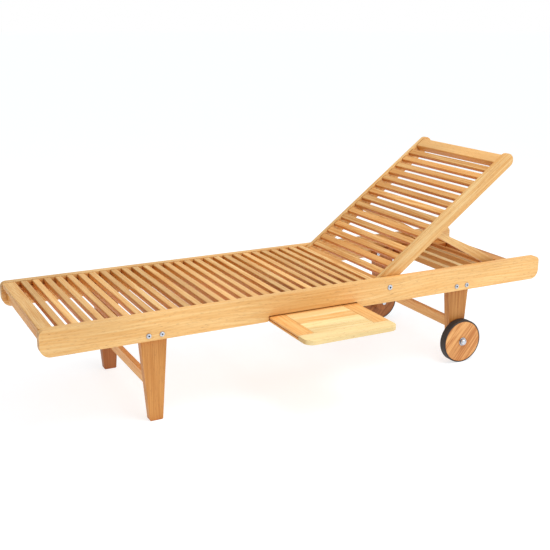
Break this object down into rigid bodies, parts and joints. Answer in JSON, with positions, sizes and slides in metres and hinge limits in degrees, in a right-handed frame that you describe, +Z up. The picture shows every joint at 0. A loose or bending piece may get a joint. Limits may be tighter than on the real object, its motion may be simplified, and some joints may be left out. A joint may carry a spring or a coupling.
{
  "type": "reclining sun lounger",
  "caption": "Slatted timber sun lounger with a raised hinged backrest on a folding prop, a pull-out side tray, tapered legs and wheels at the head end.",
  "frame": {"origin": "on the floor, under the centre of the whole object's bounding box with the tray pulled out", "axes": "+X from the foot end to the head end along the bed, +Z up, -Y towards the side the tray pulls out of"},
  "size_m": [2, 0.9072, 0.8067],
  "materials": {
    "wood_honey": "oiled, straight grain along the length",
    "wood_slat": "oiled, tone varies from slat to slat",
    "wood_brown": "oiled, darker heartwood",
    "wood_orange": "oiled, orange tone",
    "wood_pale": "oiled, pale yellow tone",
    "wheel_wood": "oiled, diagonal grain",
    "steel": "zinc plated",
    "tyre": "matt black rubber",
    "bush": "moulded"
  },
  "bodies": {
    "frame": {"rail_near": "wood_honey", "rail_far": "wood_honey", "leg_foot_near": "wood_brown", "leg_foot_far": "wood_brown", "leg_head_near": "wood_brown", "leg_head_far": "wood_brown", "stretcher_foot": "wood_brown", "stretcher_head": "wood_brown", "foot_rail": "wood_slat", "foot_slat": "wood_slat", "seat_slats": "wood_slat", "seat_ledger_near": "wood_brown", "seat_ledger_far": "wood_brown", "rack_ledger_near": "wood_brown", "rack_ledger_far": "wood_brown", "rack_bar_1": "wood_slat", "rack_bar_2": "wood_slat", "rack_bar_3": "wood_slat", "head_slat": "wood_slat", "head_rail": "wood_slat", "tray_runner_foot": "wood_orange", "tray_runner_head": "wood_orange", "leg_bolts": "steel", "leg_nuts": "steel", "pivot_bolts": "steel", "pivot_nuts": "steel", "pivot_washers": "steel", "axle_bolts": "steel", "wheel_spacers": "steel", "hub_washers": "steel", "cap_nuts": "steel"},
    "wheel_near": {"wheel_disc_near": "wheel_wood", "wheel_tyre_near": "tyre", "wheel_bush_near": "bush"},
    "wheel_far": {"wheel_disc_far": "wheel_wood", "wheel_tyre_far": "tyre", "wheel_bush_far": "bush"},
    "backrest": {"stile_near": "wood_honey", "stile_far": "wood_honey", "back_slats": "wood_slat", "top_slat": "wood_slat", "hinge_pins": "steel"},
    "prop": {"prop_arm_near": "wood_honey", "prop_arm_far": "wood_honey", "prop_rod": "wood_brown"},
    "tray": {"tray_front": "wood_pale", "tray_batten_foot": "wood_orange", "tray_batten_head": "wood_orange", "tray_board_1": "wood_pale", "tray_board_2": "wood_pale", "tray_board_3": "wood_pale", "tray_board_4": "wood_pale", "tray_board_5": "wood_pale", "tray_board_6": "wood_pale", "tray_board_7": "wood_pale", "tray_board_8": "wood_pale", "tray_cleat": "wood_orange"}
  },
  "joints": [
    {"name": "backrest_recline", "type": "hinge", "parent": "frame", "child": "backrest", "pos_m": [0.289, 0.12685, 0.354], "axis": [0, 1, 0], "range_deg": [0, 36.9]},
    {"name": "prop_fold", "type": "hinge", "parent": "backrest", "child": "prop", "pos_m": [0.51641, 0.12685, 0.52912], "axis": [0, 1, 0], "range_deg": [-66.2, 0]},
    {"name": "tray_slide", "type": "slide", "parent": "frame", "child": "tray", "axis": [0, 1, 0], "range_m": [0, 0.275]},
    {"name": "wheel_near_spin", "type": "hinge", "parent": "frame", "child": "wheel_near", "pos_m": [0.636, -0.16715, 0.0857], "axis": [0, 1, 0], "continuous": true},
    {"name": "wheel_far_spin", "type": "hinge", "parent": "frame", "child": "wheel_far", "pos_m": [0.636, 0.42085, 0.0857], "axis": [0, 1, 0], "continuous": true}
  ],
  "couplings": [
    {"joint": "prop_fold", "follows": "backrest_recline", "ratio": -1.794}
  ]
}
